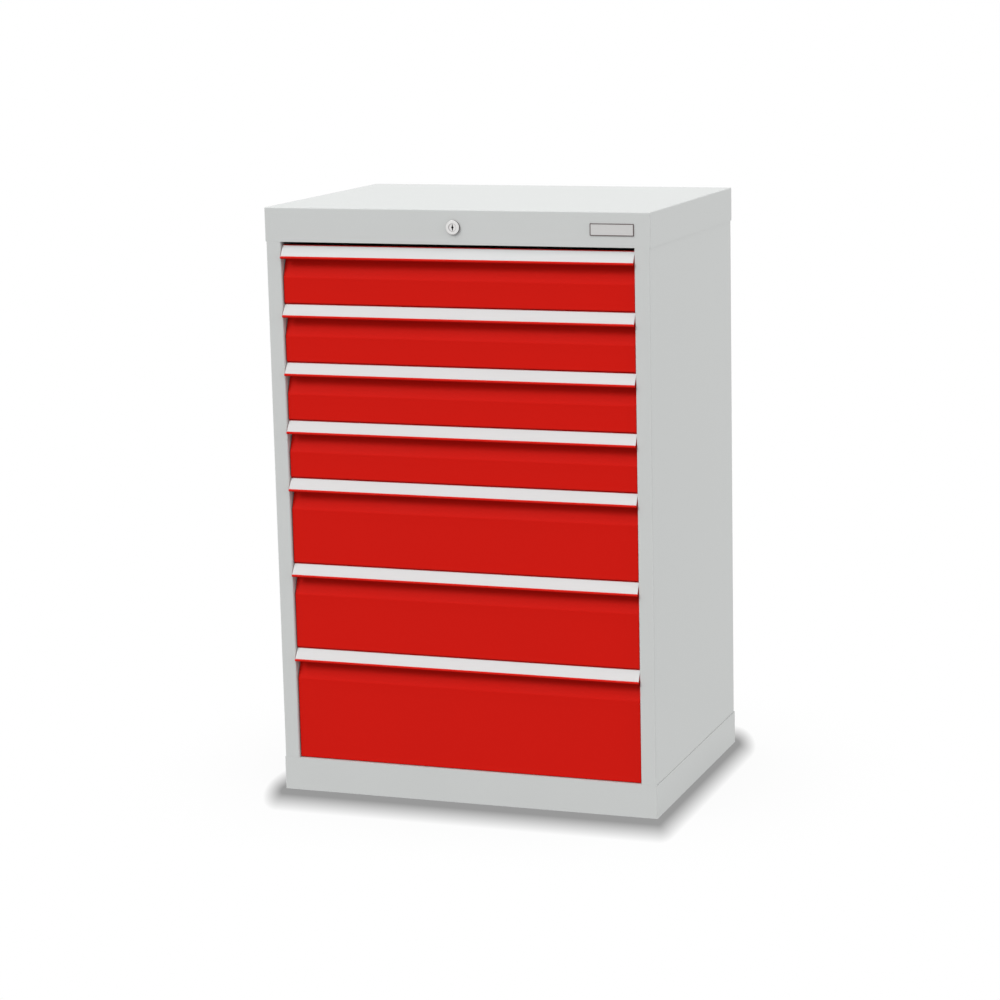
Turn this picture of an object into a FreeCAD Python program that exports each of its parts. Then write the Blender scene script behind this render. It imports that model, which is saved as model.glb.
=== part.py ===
import FreeCAD, Part
import math
import os

# Seven-drawer steel cabinet. Millimetres, X to the right, Y to the back, Z up.
# The origin is on the floor, at the middle of the box that the closed cabinet fills.

V = FreeCAD.Vector

# Cabinet
cabinet_width = 682.0
cabinet_depth = 490.0
cabinet_height = 1019.0
hood_height = 58.0
plinth_height = 58.0
drawer_shares = (4, 4, 4, 4, 6, 6, 8)
stack_margin = 1.5
post_width = 28.0
side_setback = 1.5
rear_setback = 1.5
overrun = 5.0

# Housing sheets
shell_sheet = 1.5
shell_corner = 2.0
hood_return = 8.0
plinth_return = 20.0
panel_sheet = 1.2
panel_bend = 1.0
post_return = 12.0
rear_return = 24.0
back_sheet = 1.0
back_flange = 10.0
back_side_gap = 2.0
floor_gap = 2.0

# Uprights
upright_sheet = 1.5
upright_bend = 1.5
upright_width = 40.0
upright_start = 14.0
upright_slot_width = 6.0
upright_slot_height = 12.0
upright_slot_inset = 10.0
upright_slot_pitch = 50.0

# Drawer fronts
front_side_gap = 1.6
front_gap = 1.0
front_plinth_gap = 0.7
front_recess = 4.5
front_sheet = 1.2
front_bend = 0.9
grip_run = 29.0
grip_bend = 8.0
grip_clearance = 2.6

# Handle rail, measured down its sloping face and out from it
handle_tilt = 32.0
handle_side_gap = 1.0
handle_drop = 4.3
handle_proud = 7.0
handle_wall = 1.6
handle_crown = 7.6
handle_flange = 12.0
rib_length = 1.5
rib_thickness = 1.6
strip_slot = 21.2
lip_length = 3.4
lip_thickness = 2.2
lip_radius = 0.9
strip_thickness = 1.0
strip_play = 0.15

# Trays
tray_sheet = 1.0
tray_lift = 8.0
tray_headroom = 14.0
tray_bend = 2.0
tray_hem_height = 8.0
tray_hem_sheet = 1.0

# Telescopic runners
runner_depth = 12.7
runner_height = 45.0
runner_sheet = 1.5
runner_lift = 3.0
race_gap = 2.9
web_gap = 1.2
fixed_tip_gap = 0.7
mid_tip_gap = 0.3
race_lip = 3.1
inner_back_gap = 1.0
cage_play = 0.3
cage_inset = 0.6
runner_step = 25.0
runner_rear_gap = 20.0
fixed_gap = 1.8
mid_setback = 1.0
inner_setback = 6.0
cage_length = 176.0
cage_end_gap = 6.0

# Lock
lock_collar_radius = 11.8
lock_collar_proud = 4.2
lock_collar_chamfer = 0.6
lock_barrel_radius = 9.5
lock_barrel_length = 20.0
lock_hole_clearance = 0.1
lock_nut_sides = 6
lock_nut_flats = 26.0
lock_nut_thickness = 4.0
plug_radius = 6.5
plug_clearance = 0.06
plug_recess = 0.8
plug_tail_width = 6.0
key_slot_width = 1.6
key_slot_height = 10.0
key_slot_depth = 8.0
key_core_radius = 2.1
cam_thickness = 3.0
cam_hub_radius = 6.5
cam_pin_radius = 2.2
cam_reach = 8.0
cam_turn = 90.0
cam_play = 0.2

# Lock slider, bar, hooks and catches
slider_gap = 1.0
slider_thickness = 3.0
slider_play = 0.5
slider_wall = 3.0
slider_tail = 9.0
bar_inset = 1.5
bar_width = 8.0
bar_thickness = 3.0
bar_lift = 9.0
bar_pin_radius = 2.0
bar_tail = 10.0
hook_height = 6.0
hook_reach = 7.0
hook_slot_play = 1.5
catch_drop = 22.0
catch_height = 12.0
catch_gap = 1.5
catch_thickness = 3.0
catch_reach = 11.0
guide_height = 12.0
guide_wall = 2.5
guide_play = 0.4
guide_gap = 8.5
guide_rows = (0, 3, 5)
bracket_sheet = 2.0
bracket_foot = 8.0
bracket_shares = (0.25, 0.75)

# Name plate
plate_width = 75.0
plate_height = 20.0
plate_thickness = 1.2
plate_border = 1.2
plate_recess = 0.4
plate_radius = 1.0

# Places that follow from the sizes
half_width = cabinet_width / 2
half_opening = half_width - post_width
body_low = plinth_height
body_high = cabinet_height - hood_height
stack_height = body_high - body_low - 2 * stack_margin
module_height = stack_height / sum(drawer_shares)
front_plane = (handle_proud - cabinet_depth) / 2
side_x = half_width - side_setback
side_inner_x = side_x - panel_sheet
rear_y = cabinet_depth - rear_setback
back_y = rear_y - panel_sheet
floor_top = body_low + panel_sheet
module_tops = [body_high - stack_margin - module_height * sum(drawer_shares[:i])
               for i in range(len(drawer_shares))]

tilt = math.radians(handle_tilt)
handle_length = rib_length + strip_slot + lip_length
handle_root = ((handle_length - lip_radius) * math.sin(tilt)
               + (lip_thickness - lip_radius) * math.cos(tilt) + lip_radius - handle_proud)
grip_recess = handle_root + handle_crown
front_back = grip_recess + front_sheet
front_half = half_opening - front_side_gap
handle_half = half_opening - handle_side_gap
lip_drop = handle_drop + handle_length * math.cos(tilt) + handle_wall * math.sin(tilt)
grip_start = lip_drop + grip_clearance

# Runners come in steps of length. The longest that the depth has room for is taken.
fixed_start = front_back + fixed_gap
mid_start = fixed_start + mid_setback
runner_room = back_y - back_flange - runner_rear_gap - fixed_start
fixed_length = runner_step * int(runner_room / runner_step)
mid_length = fixed_length - runner_step
inner_length = mid_length - inner_setback

tray_half = half_opening - runner_depth
tray_rear = front_back + mid_length + 2 * tray_sheet
runner_rise = tray_lift + runner_lift + runner_height / 2

lock_z = body_high + hood_height / 2
cam_y = lock_barrel_length + cam_play
slider_y = cam_y + cam_thickness + slider_gap
bar_y = slider_y + slider_thickness + slider_gap
bar_x = half_opening + upright_sheet + bar_inset
bar_pin_x = bar_x + bar_width / 2
slider_travel = 2 * cam_reach * math.sin(math.radians(cam_turn / 2))
cam_low = cam_reach
cam_high = cam_reach * math.cos(math.radians(cam_turn / 2))


def box(x0, x1, y0, y1, z0, z1):
    return Part.makeBox(x1 - x0, y1 - y0, z1 - z0, V(x0, y0, z0))


def rod(radius, start, direction, length):
    return Part.makeCylinder(radius, length, start, direction)


def across(a, b):
    """Section plane of what runs along X: a is Y and b is Z."""
    return V(0, a, b)


def upwards(a, b):
    """Section plane of what runs along Z: a is X and b is Y."""
    return V(a, b, 0)


def inwards(a, b):
    """Section plane of what runs along Y: a is X and b is Z."""
    return V(a, 0, b)


def unit(start, end):
    length = math.hypot(end[0] - start[0], end[1] - start[1])
    return ((end[0] - start[0]) / length, (end[1] - start[1]) / length)


def corner(before, point, after, radius, thickness):
    """Both sides of one bend: on the path, and a thickness to its left. A radius of zero folds sharply."""
    into = unit(before, point)
    out = unit(point, after)
    if not radius:
        spread = thickness / (1 + into[0] * out[0] + into[1] * out[1])
        return point, (point[0] - (into[1] + out[1]) * spread, point[1] + (into[0] + out[0]) * spread)
    turn = math.atan2(into[0] * out[1] - into[1] * out[0], into[0] * out[0] + into[1] * out[1])
    left = 1 if turn > 0 else -1
    on_path = radius + (thickness if left > 0 else 0)
    beyond = radius + (0 if left > 0 else thickness)
    run = on_path * math.tan(abs(turn) / 2)
    a = (point[0] - into[0] * run, point[1] - into[1] * run)
    b = (point[0] + out[0] * run, point[1] + out[1] * run)
    centre = (a[0] - left * into[1] * on_path, a[1] + left * into[0] * on_path)
    aim = unit(centre, point)
    sides = []
    for reach, shift in ((on_path, 0), (beyond, thickness)):
        first = (a[0] - into[1] * shift, a[1] + into[0] * shift)
        middle = (centre[0] + aim[0] * reach, centre[1] + aim[1] * reach)
        last = (b[0] - out[1] * shift, b[1] + out[0] * shift)
        sides.append((first, middle, last))
    return sides


def bent_lines(path, thickness, radii):
    """A bent sheet's two faces as lists of points, where a triple is an arc."""
    near = [path[0]]
    into = unit(path[0], path[1])
    far = [(path[0][0] - into[1] * thickness, path[0][1] + into[0] * thickness)]
    for i in range(1, len(path) - 1):
        on_path, beyond = corner(path[i - 1], path[i], path[i + 1], radii[i - 1], thickness)
        near.append(on_path)
        far.append(beyond)
    out = unit(path[-2], path[-1])
    near.append(path[-1])
    far.append((path[-1][0] - out[1] * thickness, path[-1][1] + out[0] * thickness))
    return near, far


def is_arc(item):
    return isinstance(item[0], tuple)


def backwards(line):
    return [item[::-1] if is_arc(item) else item for item in reversed(line)]


def closed_face(line, plane):
    """Face inside a closed line of points and arcs."""
    edges = []
    first = line[0][0] if is_arc(line[0]) else line[0]
    at = first
    for item in line + [first]:
        start = item[0] if is_arc(item) else item
        if math.hypot(start[0] - at[0], start[1] - at[1]) > Part.Precision.confusion():
            edges.append(Part.makeLine(plane(*at), plane(*start)))
        if is_arc(item):
            edges.append(Part.Arc(plane(*item[0]), plane(*item[1]), plane(*item[2])).toShape())
            at = item[2]
        else:
            at = item
    return Part.Face(Part.Wire(edges))


def bent_sheet(path, thickness, radius, plane, start, length):
    """Sheet bent along a path, its thickness to the left, run along the plane's normal."""
    near, far = bent_lines(path, thickness, [radius for _ in path[1:-1]])
    return extruded(closed_face(near + backwards(far), plane), plane, start, length)


def extruded(face, plane, start, length):
    normal = {across: V(1, 0, 0), upwards: V(0, 0, 1), inwards: V(0, 1, 0)}[plane]
    return face.translated(normal * start).extrude(normal * length)


def rounded(corners):
    """Closed line through corners of the form (a, b, radius), with arcs where the radius isn't zero."""
    line = []
    for i, (a, b, radius) in enumerate(corners):
        before = corners[i - 1][:2]
        after = corners[(i + 1) % len(corners)][:2]
        line.append(corner(before, (a, b), after, radius, 0)[0])
    return line


def mirrored(shape):
    return shape.mirror(V(0, 0, 0), V(1, 0, 0))


def both_sides(shape):
    return [shape, mirrored(shape)]


def save(name, solids):
    shape = solids[0] if len(solids) == 1 else Part.makeCompound(solids)
    shape.translated(V(0, front_plane, 0)).exportStep("parts/" + name + ".step")


# Housing. Y counts back from the front plane until a piece is saved.

def block(inset, z0, z1):
    """Block of the cabinet's outline, drawn in by an inset."""
    return box(inset - half_width, half_width - inset, inset, cabinet_depth - inset, z0, z1)


def round_upright_edges(solid):
    edges = [e for e in solid.Edges
             if e.BoundBox.XLength + e.BoundBox.YLength < Part.Precision.confusion()]
    return solid.makeFillet(shell_corner, edges)


def top_hood():
    """Folded lid with rounded edges, a flange turned in under its walls, and the lock's hole."""
    outer = round_upright_edges(block(0, body_high, cabinet_height))
    rim = [e for e in outer.Edges if e.BoundBox.ZMin > cabinet_height - Part.Precision.confusion()]
    outer = outer.makeFillet(shell_corner, rim)
    inner = block(shell_sheet, body_high + shell_sheet, cabinet_height - shell_sheet)
    window = block(hood_return, body_high - overrun, cabinet_height - shell_sheet)
    hole = rod(lock_barrel_radius + lock_hole_clearance, V(0, -overrun, lock_z), V(0, 1, 0), 2 * overrun)
    return outer.cut(inner).cut(window).cut(hole)


def base_plinth():
    """Folded base with flanges turned in above and below."""
    outer = round_upright_edges(block(0, 0, plinth_height))
    inner = block(shell_sheet, shell_sheet, plinth_height - shell_sheet)
    window = block(plinth_return, -overrun, plinth_height + overrun)
    return outer.cut(inner).cut(window)


def side_panel():
    """Right side: rear flange, wall, front post and the post's inner flange."""
    path = [(half_opening, post_return), (half_opening, 0), (side_x, 0),
            (side_x, rear_y), (side_x - rear_return, rear_y)]
    return bent_sheet(path, panel_sheet, panel_bend, upwards, body_low, body_high - body_low)


def back_panel():
    edge = side_inner_x - back_side_gap
    path = [(edge, back_y - back_flange), (edge, back_y), (-edge, back_y), (-edge, back_y - back_flange)]
    return bent_sheet(path, back_sheet, panel_bend, upwards, floor_top, body_high - floor_top)


def floor_panel():
    edge = side_inner_x - panel_bend
    return box(-edge, edge, front_back + floor_gap, back_y, body_low, floor_top)


def upright(start):
    """Right-hand slotted channel, with its web at the drawers and its flanges on the side wall."""
    path = [(side_inner_x, start + upright_width), (half_opening, start + upright_width),
            (half_opening, start), (side_inner_x, start)]
    channel = bent_sheet(path, upright_sheet, upright_bend, upwards, floor_top, body_high - floor_top)
    slot_y = start + upright_width - upright_slot_inset
    rows = 1 + int((stack_height - (upright_slot_pitch + upright_slot_height) / 2) / upright_slot_pitch)
    slots = []
    for row in range(rows):
        z = module_tops[0] - upright_slot_pitch / 2 - row * upright_slot_pitch
        slots.append(box(half_opening - overrun, half_opening + overrun,
                         slot_y - upright_slot_width / 2, slot_y + upright_slot_width / 2,
                         z - upright_slot_height / 2, z + upright_slot_height / 2))
    return channel.cut(Part.makeCompound(slots))


def hook_low(top):
    """Underside of a drawer's hook on the lock bar, with the bar down."""
    return top - catch_drop - catch_height - catch_gap - hook_height


def hook_windows():
    """Cuts in the right front upright that the hooks reach through."""
    return Part.makeCompound([
        box(half_opening - overrun, half_opening + upright_sheet + overrun,
            bar_y - hook_slot_play, bar_y + bar_thickness + hook_slot_play,
            hook_low(top) - hook_slot_play, hook_low(top) + hook_height + bar_lift + hook_slot_play)
        for top in module_tops])


# Drawers. Z counts up from the top of the drawer's module until a piece is saved.

def on_slope(down, out):
    """Point of the handle's section, by its distance down the sloping face and out from it."""
    return (handle_root - down * math.sin(tilt) - out * math.cos(tilt),
            -handle_drop - down * math.cos(tilt) + out * math.sin(tilt))


def drawer_front(low):
    """Pan with a finger slope under the handle, down to its lower edge, open towards the tray."""
    path = [(grip_recess, -handle_drop), (grip_recess, -grip_start),
            (front_recess, -grip_start - grip_run), (front_recess, low), (front_back, low)]
    near, far = bent_lines(path, front_sheet, [grip_bend, grip_bend, front_bend])
    outside = extruded(closed_face(near + [(front_back, -handle_drop)], across), across,
                       -front_half, 2 * front_half)
    behind = front_back + overrun
    cavity = far[1:-1] + [(behind, far[-1][1]), (behind, far[1][0][1]), (front_back, far[1][0][1])]
    inside = extruded(closed_face(cavity, across), across, front_sheet - front_half,
                      2 * (front_half - front_sheet))
    return outside.cut(inside)


def handle_rail():
    """Extruded pull: crown, pocket for the label strip, lip, and the flange on the front."""
    pocket_end = rib_length + strip_slot
    crown_run = handle_wall * (1 - math.sin(tilt)) / math.cos(tilt)
    corners = [
        (grip_recess, -handle_drop, 0),
        (*on_slope(rib_thickness * math.tan(tilt), rib_thickness), 0),
        (*on_slope(rib_length, rib_thickness), 0),
        (*on_slope(rib_length, 0), 0),
        (*on_slope(pocket_end, 0), 0),
        (*on_slope(pocket_end, lip_thickness), 0),
        (*on_slope(handle_length, lip_thickness), lip_radius),
        (*on_slope(handle_length, -handle_wall), lip_radius),
        (*on_slope(crown_run, -handle_wall), 0),
        (grip_recess - handle_wall, -handle_drop - handle_wall, 0),
        (grip_recess - handle_wall, -handle_drop - handle_flange, 0),
        (grip_recess, -handle_drop - handle_flange, 0)]
    return extruded(closed_face(rounded(corners), across), across, -handle_half, 2 * handle_half)


def label_strip():
    """Flat strip in the handle's pocket."""
    low = rib_length + strip_slot - strip_play
    high = rib_length + strip_play
    section = [on_slope(high, 0), on_slope(high, strip_thickness),
               on_slope(low, strip_thickness), on_slope(low, 0)]
    return extruded(closed_face(section, across), across, -handle_half, 2 * handle_half)


def trough(inset, low, high):
    """Block of a tray's outline, drawn in by an inset, with its lower sides rounded."""
    half = tray_half - inset
    bend = tray_bend + tray_sheet - inset
    section = rounded([(-half, high, 0), (-half, low, bend), (half, low, bend), (half, high, 0)])
    return extruded(closed_face(section, inwards), inwards,
                    front_back + inset, tray_rear - front_back - 2 * inset)


def tray(height):
    """Folded tray with a hem around its rim, and the catch that the lock's hook holds."""
    low = -height + tray_lift
    high = -tray_headroom
    hem = tray_sheet + tray_hem_sheet
    cavity = trough(tray_sheet, low + tray_sheet, high - tray_hem_height)
    mouth = box(hem - tray_half, tray_half - hem, front_back + hem, tray_rear - hem,
                high - tray_hem_height - overrun, high + overrun)
    body = trough(0, low, high).cut(cavity).cut(mouth)
    catch_y = bar_y + bar_thickness + catch_gap
    catch = box(tray_half, tray_half + catch_reach, catch_y, catch_y + catch_thickness,
                -catch_drop - catch_height, -catch_drop)
    return [body, catch]


# Runners. Sections count from the upright's face and up from the runner's middle.

def runner_place(height):
    return -height + runner_rise


def member(path, start, length):
    """Runner member, folded sharply along a path."""
    return bent_sheet([(half_opening - a, b) for a, b in path], runner_sheet, 0, inwards, start, length)


def lipped(tip, web, half_height):
    """Path of a member that is open towards the tray, with lips over its balls."""
    lip = half_height - race_lip
    return [(tip, -lip), (tip, -half_height), (web, -half_height),
            (web, half_height), (tip, half_height), (tip, lip)]


member_step = runner_sheet + race_gap
mid_half_height = runner_height / 2 - member_step
inner_half_height = mid_half_height - member_step
mid_web = runner_sheet + web_gap
mid_tip = runner_depth - mid_tip_gap
fixed_tip = runner_depth - fixed_tip_gap
inner_tip = mid_web + runner_sheet + inner_back_gap


def fixed_runner():
    return member(lipped(fixed_tip, 0, runner_height / 2), fixed_start, fixed_length)


def cage(web_side, tip_side, low, start):
    """Pair of ball cage strips, above and below, resting on the middle member."""
    high = low + race_gap - cage_play
    upper = box(half_opening - tip_side, half_opening - web_side, start, start + cage_length, low, high)
    lower = box(half_opening - tip_side, half_opening - web_side, start, start + cage_length, -high, -low)
    return [upper, lower]


def mid_rail():
    channel = member(lipped(mid_tip, mid_web, mid_half_height), mid_start, mid_length)
    rear = mid_start + mid_length - cage_end_gap - cage_length
    outer_cages = cage(mid_web + cage_inset, fixed_tip - runner_sheet - cage_inset,
                       mid_half_height, rear)
    inner_low = inner_half_height + cage_play
    inner_cages = cage(inner_tip, mid_tip - runner_sheet - cage_inset, inner_low,
                       mid_start + cage_end_gap)
    return [channel] + outer_cages + inner_cages


def inner_rail():
    """Channel open towards the upright, with its web on the tray."""
    path = [(inner_tip, inner_half_height), (runner_depth, inner_half_height),
            (runner_depth, -inner_half_height), (inner_tip, -inner_half_height)]
    return member(path, mid_start, inner_length)


# Lock

def lock_housing():
    """Collar and barrel, turned in one piece."""
    bore = plug_radius + plug_clearance
    outline = [(bore, -lock_collar_proud), (lock_collar_radius - lock_collar_chamfer, -lock_collar_proud),
               (lock_collar_radius, -lock_collar_proud + lock_collar_chamfer), (lock_collar_radius, 0),
               (lock_barrel_radius, 0), (lock_barrel_radius, lock_barrel_length),
               (bore, lock_barrel_length)]
    points = [V(r, y, 0) for r, y in outline]
    barrel = Part.Face(Part.makePolygon(points + points[:1])).revolve(V(0, 0, 0), V(0, 1, 0))
    return barrel.translated(V(0, 0, lock_z))


def lock_nut():
    """Nut that holds the barrel behind the hood's front wall."""
    step = 2 * math.pi / lock_nut_sides
    reach = lock_nut_flats / 2 / math.cos(step / 2)
    hexagon = [V(reach * math.sin(step * k), shell_sheet, reach * math.cos(step * k))
               for k in range(lock_nut_sides + 1)]
    nut = Part.Face(Part.makePolygon(hexagon)).extrude(V(0, lock_nut_thickness, 0))
    nut = nut.cut(rod(lock_barrel_radius, V(0, 0, 0), V(0, 1, 0), 2 * lock_barrel_length))
    return nut.translated(V(0, 0, lock_z))


def lock_plug():
    front = -lock_collar_proud + plug_recess
    plug = rod(plug_radius, V(0, front, 0), V(0, 1, 0), cam_y - front)
    slot = box(-key_slot_width / 2, key_slot_width / 2, front - overrun, front + key_slot_depth,
               -key_slot_height / 2, key_slot_height / 2)
    core = rod(key_core_radius, V(0, front - overrun, 0), V(0, 1, 0), key_slot_depth + overrun)
    tail = box(-plug_tail_width / 2, plug_tail_width / 2, cam_y, slider_y - slider_gap / 2,
               -plug_tail_width / 2, plug_tail_width / 2)
    return plug.cut(slot).cut(core).fuse(tail).removeSplitter().translated(V(0, 0, lock_z))


def cam_pin_at():
    """Cam pin's place from the lock's axis, with the lock open."""
    angle = math.radians(cam_turn / 2)
    return -cam_reach * math.sin(angle), -cam_reach * math.cos(angle)


def lock_cam():
    pin_x, pin_z = cam_pin_at()
    hub = rod(cam_hub_radius, V(0, cam_y, 0), V(0, 1, 0), cam_thickness)
    end = rod(cam_pin_radius + cam_thickness / 2, V(pin_x, cam_y, pin_z), V(0, 1, 0), cam_thickness)
    pin = rod(cam_pin_radius, V(pin_x, cam_y, pin_z), V(0, 1, 0), bar_y - cam_y - slider_gap / 2)
    hole = box(-plug_tail_width / 2, plug_tail_width / 2, cam_y - overrun, cam_y + overrun,
               -plug_tail_width / 2, plug_tail_width / 2)
    return hub.fuse(end).fuse(pin).cut(hole).removeSplitter().translated(V(0, 0, lock_z))


pin_room = cam_pin_radius + slider_play
slider_high = lock_z - cam_high + pin_room + slider_wall
slider_low = lock_z - cam_low - pin_room - slider_wall
bar_pin_z = slider_low + slider_wall + bar_pin_radius


def lock_slider():
    """Flat bar with an upright slot for the cam's pin and a slanting slot that lifts the lock bar."""
    pin_x, _ = cam_pin_at()
    end_room = bar_pin_radius + slider_play + slider_wall
    right = bar_pin_x + end_room
    strip = box(pin_x - slider_tail, right, 0, slider_thickness, slider_low, slider_high)
    head = box(bar_pin_x - slider_travel - end_room, right, 0, slider_thickness,
               slider_low, bar_pin_z + bar_lift + end_room)
    cam_slot = box(pin_x - pin_room, pin_x + pin_room, -overrun, overrun,
                   slider_low + slider_wall, slider_high - slider_wall)
    half = bar_pin_radius + slider_play / 2
    start = (bar_pin_x, bar_pin_z)
    end = (bar_pin_x - slider_travel, bar_pin_z + bar_lift)
    along = unit(start, end)
    side = (-along[1] * half, along[0] * half)
    line = [((start[0] - side[0], start[1] - side[1]),
             (start[0] - along[0] * half, start[1] - along[1] * half),
             (start[0] + side[0], start[1] + side[1])),
            ((end[0] + side[0], end[1] + side[1]),
             (end[0] + along[0] * half, end[1] + along[1] * half),
             (end[0] - side[0], end[1] - side[1]))]
    lift_slot = extruded(closed_face(line, inwards), inwards, -overrun, 2 * overrun)
    slider = strip.fuse(head).removeSplitter().cut(cam_slot).cut(lift_slot)
    return slider.translated(V(0, slider_y, 0))


def lock_bar():
    """Upright strip with its driving pin, and one hook for each drawer."""
    low = hook_low(module_tops[-1]) - bar_tail
    strip = box(bar_x, bar_x + bar_width, bar_y, bar_y + bar_thickness,
                low, bar_pin_z + bar_width / 2)
    pin = rod(bar_pin_radius, V(bar_pin_x, slider_y - slider_gap / 2, bar_pin_z), V(0, 1, 0),
              bar_y - slider_y + slider_gap / 2)
    hooks = [box(half_opening - hook_reach, bar_x, bar_y, bar_y + bar_thickness,
                 hook_low(top), hook_low(top) + hook_height) for top in module_tops]
    return [strip.fuse(pin).removeSplitter()] + hooks


def bar_guide(top):
    """Block on the upright's web that the lock bar runs through."""
    web = half_opening + upright_sheet
    z = hook_low(top) - guide_gap - guide_height
    block = box(web, bar_x + bar_width + guide_play + guide_wall,
                bar_y - guide_play - guide_wall, bar_y + bar_thickness + guide_play + guide_wall,
                z, z + guide_height)
    passage = box(bar_x - guide_play, bar_x + bar_width + guide_play,
                  bar_y - guide_play, bar_y + bar_thickness + guide_play,
                  z - overrun, z + guide_height + overrun)
    return block.cut(passage)


def slider_bracket(x):
    """Angle on the hood's front wall with a window for the slider."""
    low = slider_low - guide_play - guide_wall
    high = slider_high + guide_play + guide_wall
    foot = box(x - bracket_foot, x + bracket_sheet, shell_sheet, shell_sheet + bracket_sheet, low, high)
    arm = box(x, x + bracket_sheet, shell_sheet, slider_y + slider_thickness + guide_play + guide_wall,
              low, high)
    window = box(x - overrun, x + overrun, slider_y - guide_play,
                 slider_y + slider_thickness + guide_play,
                 slider_low - guide_play, slider_high + guide_play)
    return foot.fuse(arm).removeSplitter().cut(window)


def name_plate():
    low = lock_z - plate_height / 2
    left = half_opening - plate_width
    plate = box(left, half_opening, -plate_thickness, 0, low, low + plate_height)
    corners = [e for e in plate.Edges if e.BoundBox.XLength + e.BoundBox.ZLength < Part.Precision.confusion()]
    plate = plate.makeFillet(plate_radius, corners)
    field = box(left + plate_border, half_opening - plate_border,
                -plate_thickness - overrun, -plate_thickness + plate_recess,
                low + plate_border, low + plate_height - plate_border)
    return plate.cut(field)


def main():
    os.makedirs("parts", exist_ok=True)

    wall = side_panel()
    save("right_side_panel", [wall])
    save("left_side_panel", [mirrored(wall)])
    save("back_panel", [back_panel()])
    save("floor_panel", [floor_panel()])
    save("top_hood", [top_hood()])
    save("base_plinth", [base_plinth()])

    front_post = upright(upright_start)
    rear_post = upright(fixed_start + fixed_length - upright_width)
    save("right_uprights", [front_post.cut(hook_windows()), rear_post])
    save("left_uprights", [mirrored(front_post), mirrored(rear_post)])

    fixed = fixed_runner()
    rail = mid_rail()
    inner = inner_rail()
    handle = handle_rail()
    strip = label_strip()
    fixed_right = []
    fronts_low = [top - handle_drop + front_gap for top in module_tops[1:]]
    fronts_low.append(body_low + front_plinth_gap)
    for number, (top, share) in enumerate(zip(module_tops, drawer_shares), 1):
        height = share * module_height
        lift = V(0, 0, top)
        rail_lift = V(0, 0, top + runner_place(height))
        name = "drawer_" + str(number)
        save(name + "_front", [drawer_front(fronts_low[number - 1] - top).translated(lift)])
        save(name + "_handle", [handle.translated(lift)])
        save(name + "_label_strip", [strip.translated(lift)])
        save(name + "_tray", [s.translated(lift) for s in tray(height)])
        save(name + "_inner_rails", [s.translated(rail_lift) for s in both_sides(inner)])
        save(name + "_mid_rails", [s.translated(rail_lift) for m in rail for s in both_sides(m)])
        fixed_right.append(fixed.translated(rail_lift))
    save("right_fixed_runners", fixed_right)
    save("left_fixed_runners", [mirrored(s) for s in fixed_right])

    save("lock_housing", [lock_housing()])
    save("lock_nut", [lock_nut()])
    save("lock_plug", [lock_plug()])
    save("lock_cam", [lock_cam()])
    save("lock_slider", [lock_slider()])
    save("lock_bar", lock_bar())
    guides = [bar_guide(module_tops[row]) for row in guide_rows]
    brackets = [slider_bracket(bar_pin_x * share) for share in bracket_shares]
    save("lock_guides", guides + brackets)
    save("name_plate", [name_plate()])


main()
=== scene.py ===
import bmesh
import bpy
import math
from mathutils import Matrix, Vector


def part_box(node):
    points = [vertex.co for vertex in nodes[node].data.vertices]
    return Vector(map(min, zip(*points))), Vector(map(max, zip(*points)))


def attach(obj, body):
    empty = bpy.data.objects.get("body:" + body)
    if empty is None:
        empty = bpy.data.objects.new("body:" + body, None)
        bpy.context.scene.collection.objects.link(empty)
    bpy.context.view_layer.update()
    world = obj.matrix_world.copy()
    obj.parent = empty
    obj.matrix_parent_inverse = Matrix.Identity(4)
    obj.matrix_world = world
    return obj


# Looks of the seven-drawer steel cabinet. Metres, X to the right, Y to the back, Z up.

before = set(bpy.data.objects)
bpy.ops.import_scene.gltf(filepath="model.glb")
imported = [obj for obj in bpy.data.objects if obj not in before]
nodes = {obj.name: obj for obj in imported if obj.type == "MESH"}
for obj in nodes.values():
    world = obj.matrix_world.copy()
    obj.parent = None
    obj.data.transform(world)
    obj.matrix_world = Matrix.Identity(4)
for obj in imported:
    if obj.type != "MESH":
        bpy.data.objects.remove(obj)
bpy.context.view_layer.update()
DRAWERS = range(1, 8)

# Colours, as they look in even light (0 to 255)
HOUSING = (198, 200, 199)
RED = (202, 23, 14)
STRIP = (204, 205, 205)
TRAY = (190, 192, 191)
UPRIGHT = (184, 186, 185)
ZINC = (176, 180, 184)
NICKEL = (218, 217, 216)
# Painted shade on the lock's collar side and keyway, also the colour of the dark ring at the plug's
# joint
NICKEL_SHADE = (70, 55, 55)
PLATE = (196, 195, 194)
PLATE_RIM = (84, 70, 70)

# Finishes. Noise is scaled per metre, and a bump has a strength and a height. A tone is how far a
# colour's two shades lie from it, as a share. Wear is added to a roughness.
NOISE_MIDDLE = (0.3, 0.7)
COAT_CLOUDS = 7.0
COAT_FLECKS = 2600.0
COAT_PEEL = 620.0
COAT_PEEL_HEIGHT = 0.00006
COAT_TONE = 0.018
COAT_WEAR = (-0.03, 0.04)
STRIP_LINES = (3.0, 900.0, 900.0)
STRIP_CLOUDS = 11.0
STRIP_BUMP = (0.12, 0.00003)
STRIP_TONE = 0.01
STRIP_ROUGHNESS = (0.44, 0.52)
STRIP_GLOSS = 0.12
ROLLED_ALONG = 5.0
ROLLED_ACROSS = 700.0
ROLLED_BUMP = (0.2, 0.00002)
ROLLED_WEAR = (-0.06, 0.08)
SPANGLE = 160.0
SPANGLE_TONE = 0.05
LATHE_RINGS = 9000.0
LATHE_CLOUDS = 300.0
LATHE_BUMP = (0.12, 0.00002)
LATHE_TONES = (0.03, 0.05)
LATHE_METAL = 0.6
LATHE_ROUGHNESS = (0.36, 0.44)
PLATE_LINES = (60.0, 2500.0, 2500.0)
PLATE_BUMP = (0.18, 0.00002)
PLATE_TONES = (0.03, 0.05)
PLATE_METAL = 0.3
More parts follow.
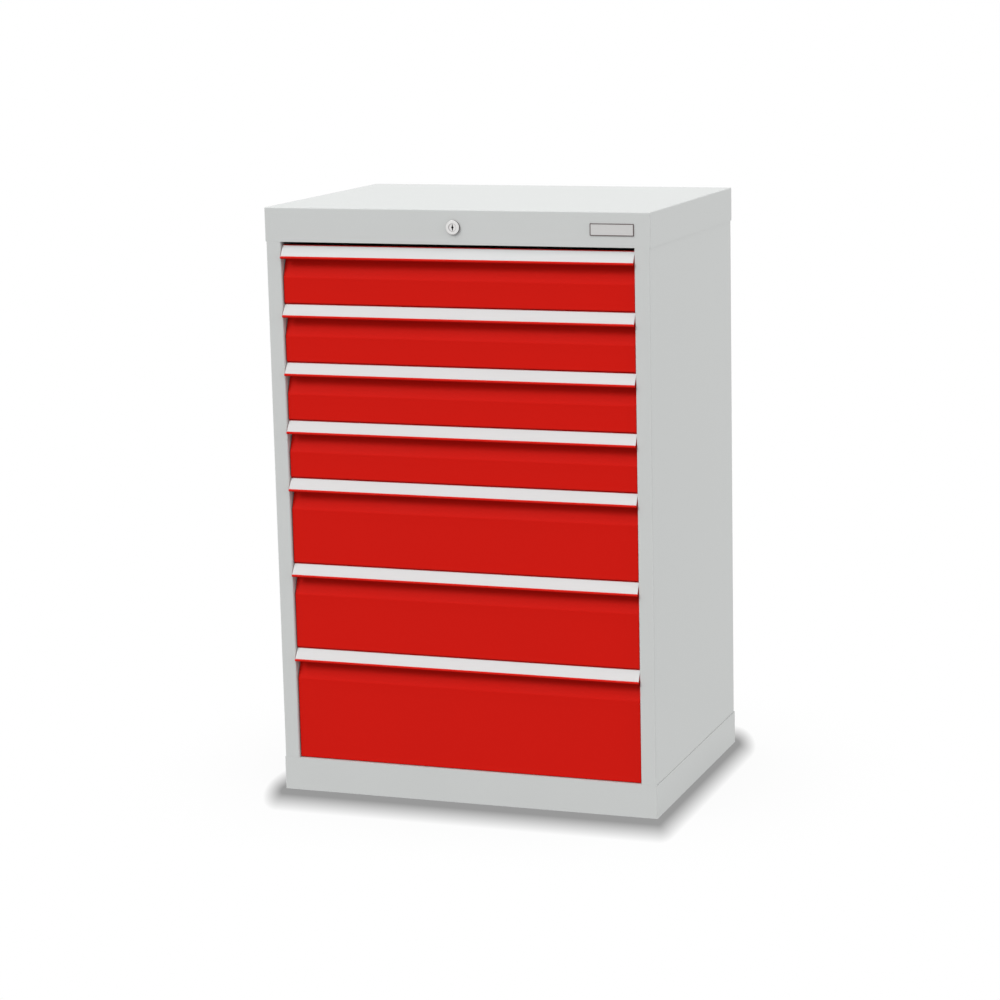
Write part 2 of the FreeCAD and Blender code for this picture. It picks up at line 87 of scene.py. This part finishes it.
PLATE_ROUGHNESS = (0.42, 0.54)

# Lock and plate: how far back from the lock's face its painted shade begins and is full, which
# darkens the collar's side and the keyway; how far off the joint round its plug a dark ring reaches
# and how dark that ring is; how wide the plate's dark rim is, and how soft the rim's inner edge is
LOCK_PAINTED_SHADE_DEPTH = (0.0010, 0.0012)
LOCK_JOINT = (0.0002, 0.0007)
JOINT_SHADE = 0.45
RIM_WIDTH = 0.0013
RIM_BLUR = 0.0001

# Rounded edges
WELD_REACH = 0.00001
DRAWER_EDGE = 0.00025
HOUSING_EDGE = 0.0003
EDGE_SEGMENTS = 2
EDGE_ANGLE = 35.0
FLAT_WEIGHT = 90

# Rivets: the domes keep inside the cabinet's box
RIVET_INSET = 0.012
RIVET_ROWS = 7
RIVET_RADIUS = 0.0032
RIVET_EDGE = 0.0003
RIVET_DOME = 0.0010
RIVET_SIDES = 16
RIVET_RINGS = 4

# Camera
LENS = 101.233
SENSOR = 36.0
CAMERA_AT = (1.68333, -4.57895, 1.42850)
AZIMUTH = 18.3098
ELEVATION = 10.9763
ROLL = -0.9098
SHIFT_X = -0.1
VIEW_DEPTH = 100.0

# Light: a strength is the radiance that a white sheet shows when it faces the light. A lamp has a
# strength, an azimuth, an elevation and a softness in degrees, and shows in gloss or not: the low
# one would glare on the flat top.
SKY = 0.70
FLOOR_GLOW = 0.48
LAMPS = {"key": (0.355, -35.0, 34.5, 20.0, True),
         "high": (0.27, -35.0, 55.0, 40.0, True),
         "side": (0.36, 90.0, 15.0, 32.0, False),
         "back": (0.24, 240.0, 40.0, 32.0, True)}
FLOOR_HALF = 8.0

# Shade on the floor, as from a lamp high behind the cabinet: the lamp's turn, how much longer the
# shade is along its light, how far it is pushed that way, where it starts to fade and ends, and how
# dark it is. The room's shade is wide and faint: its reach and its darkest value.
SHADE_TURN = 18.3
SHADE_STRETCH = 3.3
SHADE_PUSH = 0.010
SHADE_FADE = (0.007, 0.037)
SHADE_DARK = 0.33
ROOM_REACH = 0.35
ROOM_DARK = 0.92
ROOM_SAMPLES = 16


def linear(colour):
    """Scene colour of an 8-bit display colour, by the sRGB curve."""
    shares = [c / 255 for c in colour]
    values = [c / 12.92 if c <= 0.04045 else ((c + 0.055) / 1.055) ** 2.4 for c in shares]
    return (*values, 1.0)


# Node helpers

class Tree:
    """Short way to build a node tree."""

    def __init__(self, tree):
        self.nodes = tree.nodes
        self.links = tree.links
        self.nodes.clear()

    def add(self, kind, inputs=None, **settings):
        node = self.nodes.new(kind)
        for name, value in settings.items():
            setattr(node, name, value)
        for name, value in (inputs or {}).items():
            if isinstance(value, bpy.types.NodeSocket):
                self.links.new(value, node.inputs[name])
            else:
                node.inputs[name].default_value = value
        return node

    def place(self):
        return self.add("ShaderNodeTexCoord").outputs["Object"]

    def number(self, operation, *values):
        return self.add("ShaderNodeMath", dict(enumerate(values)), operation=operation).outputs[0]

    def vector(self, operation, *values):
        node = self.add("ShaderNodeVectorMath", dict(enumerate(values)), operation=operation)
        is_number = operation in ("LENGTH", "DISTANCE", "DOT_PRODUCT")
        return node.outputs["Value" if is_number else "Vector"]

    def ramp(self, value, start=0.0, end=1.0, low=0.0, high=1.0):
        """Maps start and end to low and high, and holds them beyond."""
        return self.add("ShaderNodeMapRange", {"Value": value, "From Min": start, "From Max": end,
                                               "To Min": low, "To Max": high}).outputs[0]

    def noise(self, place, scale=1.0, detail=2.0, roughness=0.5):
        return self.add("ShaderNodeTexNoise", {"Vector": place, "Scale": scale, "Detail": detail,
                                               "Roughness": roughness}).outputs[0]

    def stretched(self, place, scale):
        return self.add("ShaderNodeMapping", {"Vector": place, "Scale": scale}).outputs[0]

    def bump(self, strength, height, shape):
        return self.add("ShaderNodeBump", {"Strength": strength, "Distance": height,
                                           "Height": shape}).outputs[0]

    def spread(self, value, low, high):
        """Maps the middle of a noise's range to low and high."""
        return self.ramp(value, *NOISE_MIDDLE, low, high)

    def mix(self, share, first, second):
        """Mix of two colours, each a value or a socket."""
        return self.add("ShaderNodeMix", {0: share, "A": first, "B": second},
                        data_type="RGBA").outputs["Result"]

    def two_tones(self, value, colour, change):
        """Mix of two close tones of a colour."""
        light = [min(255, c * (1 + change)) for c in colour]
        dark = [c * (1 - change) for c in colour]
        return self.mix(value, linear(dark), linear(light))


def new_material(name):
    material = bpy.data.materials.new(name)
    material.use_nodes = True
    return material, Tree(material.node_tree)


def close(tree, shader):
    tree.add("ShaderNodeOutputMaterial", {"Surface": shader.outputs[0]})


def surface(tree, colour, roughness, normal, **others):
    """Ends a material with one shader. Other inputs have their names with underscores."""
    inputs = {"Base Color": colour, "Roughness": roughness, "Normal": normal}
    inputs.update({name.replace("_", " "): value for name, value in others.items()})
    close(tree, tree.add("ShaderNodeBsdfPrincipled", inputs))


# Finishes

def powder_coat(name, colour, roughness=0.50, peel=0.35, gloss=0.22):
    """Baked powder: a fine orange peel, slight flecks and very soft cloudiness."""
    material, tree = new_material(name)
    place = tree.place()
    clouds = tree.noise(place, COAT_CLOUDS)
    flecks = tree.noise(place, COAT_FLECKS, detail=1.0)
    peel_shape = tree.noise(place, COAT_PEEL, detail=3.0, roughness=0.55)
    blend = tree.add("ShaderNodeMix", {0: 0.5, "A": clouds, "B": flecks},
                     data_type="FLOAT").outputs[0]
    wear_low, wear_high = COAT_WEAR
    surface(tree, tree.two_tones(blend, colour, COAT_TONE),
            tree.spread(clouds, roughness + wear_low, roughness + wear_high),
            tree.bump(peel, COAT_PEEL_HEIGHT, peel_shape), Specular_IOR_Level=gloss)
    return material


def strip_plastic(name, colour):
    """Extruded insert: satin, with hairlines along its length."""
    material, tree = new_material(name)
    place = tree.place()
    lines = tree.noise(tree.stretched(place, STRIP_LINES))
    clouds = tree.noise(place, STRIP_CLOUDS)
    surface(tree, tree.two_tones(clouds, colour, STRIP_TONE),
            tree.spread(lines, *STRIP_ROUGHNESS),
            tree.bump(*STRIP_BUMP, lines), Specular_IOR_Level=STRIP_GLOSS)
    return material


def plated_steel(name, colour, along, roughness=0.34):
    """Zinc-plated strip steel: rolled lines along one axis and faint spangle."""
    material, tree = new_material(name)
    place = tree.place()
    scale = [ROLLED_ALONG if axis == along else ROLLED_ACROSS for axis in "XYZ"]
    lines = tree.noise(tree.stretched(place, scale), detail=3.0)
    spangle = tree.add("ShaderNodeTexVoronoi", {"Vector": place, "Scale": SPANGLE})
    grey = tree.add("ShaderNodeSeparateColor", {"Color": spangle.outputs["Color"]}).outputs[0]
    wear_low, wear_high = ROLLED_WEAR
    surface(tree, tree.two_tones(grey, colour, SPANGLE_TONE),
            tree.spread(lines, roughness + wear_low, roughness + wear_high),
            tree.bump(*ROLLED_BUMP, lines), Metallic=1.0)
    return material


def turned_metal(name, colour, shade, node, plug):
    """Plated metal faced on a lathe, with fine rings round the lock's axis. Painted shade darkens
    it behind the face, on the collar's side and in the keyway, and a dark ring lies at the joint
    round the plug."""
    material, tree = new_material(name)
    place = tree.place()
    low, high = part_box(plug)
    local = tree.vector("SUBTRACT", place, (low + high) / 2)
    radius = tree.vector("LENGTH", tree.vector("MULTIPLY", local, (1.0, 0.0, 1.0)))
    rings = tree.number("SINE", tree.number("MULTIPLY", radius, LATHE_RINGS))
    clouds = tree.noise(place, LATHE_CLOUDS)
    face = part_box(node)[0].y
    depth = tree.add("ShaderNodeSeparateXYZ", {0: place}).outputs["Y"]
    # Painted shade: deeper than the face, the collar's side and the keyway are darkened towards the
    # shade colour
    painted_shade_behind = tree.ramp(depth, *[face + reach for reach in LOCK_PAINTED_SHADE_DEPTH])
    off_joint = tree.number("ABSOLUTE", tree.number("SUBTRACT", radius, (high.x - low.x) / 2))
    joint = tree.ramp(off_joint, *LOCK_JOINT, JOINT_SHADE, 0.0)
    face_tone, shade_tone = LATHE_TONES
    tone = tree.mix(tree.number("MAXIMUM", painted_shade_behind, joint),
                    tree.two_tones(clouds, colour, face_tone),
                    tree.two_tones(clouds, shade, shade_tone))
    surface(tree, tone, tree.spread(clouds, *LATHE_ROUGHNESS), tree.bump(*LATHE_BUMP, rings),
            Metallic=LATHE_METAL)
    return material


def brushed_plate(name, colour, rim_colour, node):
    """Satin aluminium with short brushing along X, and a dark rim round its edge."""
    material, tree = new_material(name)
    place = tree.place()
    low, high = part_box(node)
    half = (high - low) / 2 - Vector((RIM_WIDTH, 0, RIM_WIDTH))
    size = tree.vector("ABSOLUTE", tree.vector("SUBTRACT", place, (low + high) / 2))
    outside = tree.vector("MAXIMUM", tree.vector("SUBTRACT", size, half), (0.0, 0.0, 0.0))
    rim_share = tree.ramp(tree.vector("LENGTH", outside), end=RIM_BLUR)
    lines = tree.noise(tree.stretched(place, PLATE_LINES), detail=3.0, roughness=0.6)
    plate_tone, rim_tone = PLATE_TONES
    tone = tree.mix(rim_share, tree.two_tones(lines, colour, plate_tone),
                    tree.two_tones(lines, rim_colour, rim_tone))
    surface(tree, tone, tree.spread(lines, *PLATE_ROUGHNESS), tree.bump(*PLATE_BUMP, lines),
            Metallic=PLATE_METAL)
    return material


def dress(names, material):
    for name in names:
        slots = nodes[name].data.materials
        slots.clear()
        slots.append(material)


def soften(name, width):
    """Small rounded edges on a CAD node: split corners are joined, then bevelled."""
    node = nodes[name]
    for polygon in node.data.polygons:
        polygon.use_smooth = True
    weld = node.modifiers.new("join", "WELD")
    weld.merge_threshold = WELD_REACH
    bevel = node.modifiers.new("edges", "BEVEL")
    bevel.width = width
    bevel.segments = EDGE_SEGMENTS
    bevel.limit_method = "ANGLE"
    bevel.angle_limit = math.radians(EDGE_ANGLE)
    normals = node.modifiers.new("flat", "WEIGHTED_NORMAL")
    normals.weight = FLAT_WEIGHT


def dress_cabinet():
    housing = powder_coat("housing_paint", HOUSING, gloss=0.12)
    tray = powder_coat("tray_paint", TRAY, roughness=0.46)
    front = powder_coat("front_paint", RED, roughness=0.60, peel=0.28, gloss=0.05)
    strip = strip_plastic("label_strip", STRIP)
    runner = plated_steel("runner_steel", ZINC, "Y")
    upright = powder_coat("upright_steel", UPRIGHT, roughness=0.46)
    bars = plated_steel("lock_steel", ZINC, "Z", roughness=0.3)
    lock = turned_metal("lock_chrome", NICKEL, NICKEL_SHADE, "lock_housing", "lock_plug")
    plate = brushed_plate("plate_metal", PLATE, PLATE_RIM, "name_plate")

    dress(["left_side_panel", "right_side_panel", "back_panel", "floor_panel", "top_hood",
           "base_plinth"], housing)
    dress(["left_uprights", "right_uprights"], upright)
    dress(["left_fixed_runners", "right_fixed_runners"], runner)
    dress(["lock_nut", "lock_cam", "lock_slider", "lock_bar", "lock_guides"], bars)
    dress(["lock_housing", "lock_plug"], lock)
    dress(["name_plate"], plate)
    for number in DRAWERS:
        drawer = "drawer_" + str(number)
        dress([drawer + "_front", drawer + "_handle"], front)
        dress([drawer + "_label_strip"], strip)
        dress([drawer + "_tray"], tray)
        dress([drawer + "_inner_rails", drawer + "_mid_rails"], runner)
        for part in ("_front", "_handle", "_label_strip", "_tray"):
            soften(drawer + part, DRAWER_EDGE)
    for name in ("left_side_panel", "right_side_panel", "top_hood", "base_plinth", "name_plate"):
        soften(name, HOUSING_EDGE)


# Rivets of the back, which the solids leave out

def add_rivet(mesh, centre, profile, tip):
    """Dome of revolution on a flat base, from rings of a radius and a height, and a tip."""
    turns = [2 * math.pi * k / RIVET_SIDES for k in range(RIVET_SIDES)]
    rings = [[mesh.verts.new(centre + Vector((radius * math.cos(a), out, radius * math.sin(a))))
              for a in turns] for radius, out in profile]
    top = mesh.verts.new(centre + Vector((0, tip, 0)))
    for near, far in zip(rings, rings[1:]):
        for k in range(RIVET_SIDES):
            after = (k + 1) % RIVET_SIDES
            mesh.faces.new((near[k], near[after], far[after], far[k]))
    last = rings[-1]
    for k in range(RIVET_SIDES):
        mesh.faces.new((last[k], last[(k + 1) % RIVET_SIDES], top))
    mesh.faces.new(rings[0])


def rivets():
    """Low domed heads on the rear flanges of the side panels."""
    low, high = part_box("right_side_panel")
    across = high.x - RIVET_INSET
    step = (high.z - low.z) / RIVET_ROWS
    rise = [math.radians(90 * k / RIVET_RINGS) for k in range(RIVET_RINGS)]
    dome = [(RIVET_RADIUS * math.cos(a), RIVET_EDGE + RIVET_DOME * math.sin(a)) for a in rise]
    mesh = bmesh.new()
    for side in (-across, across):
        for row in range(RIVET_ROWS):
            centre = Vector((side, high.y, low.z + (row + 0.5) * step))
            add_rivet(mesh, centre, [(RIVET_RADIUS, 0.0)] + dome, RIVET_EDGE + RIVET_DOME)
    bmesh.ops.recalc_face_normals(mesh, faces=mesh.faces)
    for face in mesh.faces:
        face.smooth = len(face.verts) < RIVET_SIDES
    data = bpy.data.meshes.new("back_rivets")
    mesh.to_mesh(data)
    mesh.free()
    piece = bpy.data.objects.new("back_rivets", data)
    bpy.context.scene.collection.objects.link(piece)
    data.materials.append(bpy.data.materials["runner_steel"])
    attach(piece, "cabinet")


# Stage

def edge_distance(tree, place, start, end):
    """Distance from a place to the straight line between two points."""
    edge = end - start
    local = tree.vector("SUBTRACT", place, start)
    along = tree.vector("DOT_PRODUCT", local, edge / edge.length_squared)
    share = tree.add("ShaderNodeClamp", {"Value": along}).outputs[0]
    foot = tree.add("ShaderNodeVectorMath", {0: edge, "Scale": share}, operation="SCALE")
    return tree.vector("DISTANCE", local, foot.outputs[0])


def plinth_distance(tree):
    """Distance on the floor from the plinth's outline, shorter along the light."""
    angle = -math.radians(SHADE_TURN)
    squeeze = Vector((1.0, 1.0 / SHADE_STRETCH, 0.0))
    turned_place = tree.add("ShaderNodeVectorRotate", {"Vector": tree.place(), "Angle": angle},
                            rotation_type="Z_AXIS").outputs[0]
    local = tree.vector("MULTIPLY", turned_place, squeeze)
    low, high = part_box("base_plinth")
    turn = Matrix.Rotation(angle, 3, "Z")
    push = Vector((0.0, SHADE_PUSH, 0.0))
    outline = [(low.x, low.y, 0), (high.x, low.y, 0), (high.x, high.y, 0), (low.x, high.y, 0)]
    corners = [(turn @ Vector(corner) - push) * squeeze for corner in outline]
    distances = [edge_distance(tree, local, start, end)
                 for start, end in zip(corners[-1:] + corners, corners)]
    nearest = distances[0]
    for distance in distances[1:]:
        nearest = tree.number("MINIMUM", nearest, distance)
    return nearest


def eye_share(tree):
    """One for rays from the eye, straight, mirrored or through glass."""
    path = tree.add("ShaderNodeLightPath").outputs
    direct = tree.number("MAXIMUM", path["Is Camera Ray"], path["Is Glossy Ray"])
    return tree.number("MAXIMUM", direct, path["Is Transmission Ray"])


def floor():
    """White floor. The eye sees white, darkened where the cabinet stands close over it."""
    mesh = bpy.data.meshes.new("floor")
    corners = [(-1, -1), (1, -1), (1, 1), (-1, 1)]
    mesh.from_pydata([(x * FLOOR_HALF, y * FLOOR_HALF, 0) for x, y in corners], [],
                     [(0, 1, 2, 3)])
    plane = bpy.data.objects.new("floor", mesh)
    bpy.context.scene.collection.objects.link(plane)
    material, tree = new_material("floor_white")
    contact = tree.ramp(plinth_distance(tree), *SHADE_FADE, low=SHADE_DARK)
    open_share = tree.add("ShaderNodeAmbientOcclusion", {"Distance": ROOM_REACH},
                          samples=ROOM_SAMPLES).outputs["AO"]
    shade = tree.number("MULTIPLY", contact, tree.ramp(open_share, low=ROOM_DARK))
    seen = tree.add("ShaderNodeEmission", {"Strength": shade})
    glow = tree.add("ShaderNodeEmission", {"Strength": FLOOR_GLOW})
    close(tree, tree.add("ShaderNodeMixShader", {0: eye_share(tree), 1: glow.outputs[0],
                                                 2: seen.outputs[0]}))
    mesh.materials.append(material)


def sky():
    """World that lights the cabinet evenly, and that the eye sees white."""
    world = bpy.data.worlds.new("studio")
    world.use_nodes = True
    bpy.context.scene.world = world
    tree = Tree(world.node_tree)
    strength = tree.ramp(eye_share(tree), low=SKY)
    background = tree.add("ShaderNodeBackground", {"Color": (1, 1, 1, 1), "Strength": strength})
    tree.add("ShaderNodeOutputWorld", {"Surface": background.outputs[0]})


def turned(azimuth, elevation, roll=0.0):
    """Rotation of a camera or lamp that looks at the object from an azimuth and an elevation."""
    return (Matrix.Rotation(math.radians(azimuth), 4, "Z")
            @ Matrix.Rotation(math.radians(90 - elevation), 4, "X")
            @ Matrix.Rotation(math.radians(roll), 4, "Z"))


def lamp(name, strength, azimuth, elevation, softness, shows_in_gloss):
    data = bpy.data.lights.new(name, "SUN")
    data.energy = strength * math.pi
    data.angle = math.radians(softness)
    light = bpy.data.objects.new(name, data)
    light.matrix_world = turned(azimuth, elevation)
    light.visible_glossy = shows_in_gloss
    bpy.context.scene.collection.objects.link(light)


def camera():
    data = bpy.data.cameras.new("camera")
    data.lens = LENS
    data.sensor_width = SENSOR
    data.shift_x = SHIFT_X
    data.clip_end = VIEW_DEPTH
    eye = bpy.data.objects.new("camera", data)
    eye.matrix_world = Matrix.Translation(CAMERA_AT) @ turned(AZIMUTH, ELEVATION, ROLL)
    bpy.context.scene.collection.objects.link(eye)
    bpy.context.scene.camera = eye


dress_cabinet()
rivets()
floor()
sky()
for lamp_name, values in LAMPS.items():
    lamp(lamp_name, *values)
camera()
bpy.context.scene.view_settings.view_transform = "Standard"
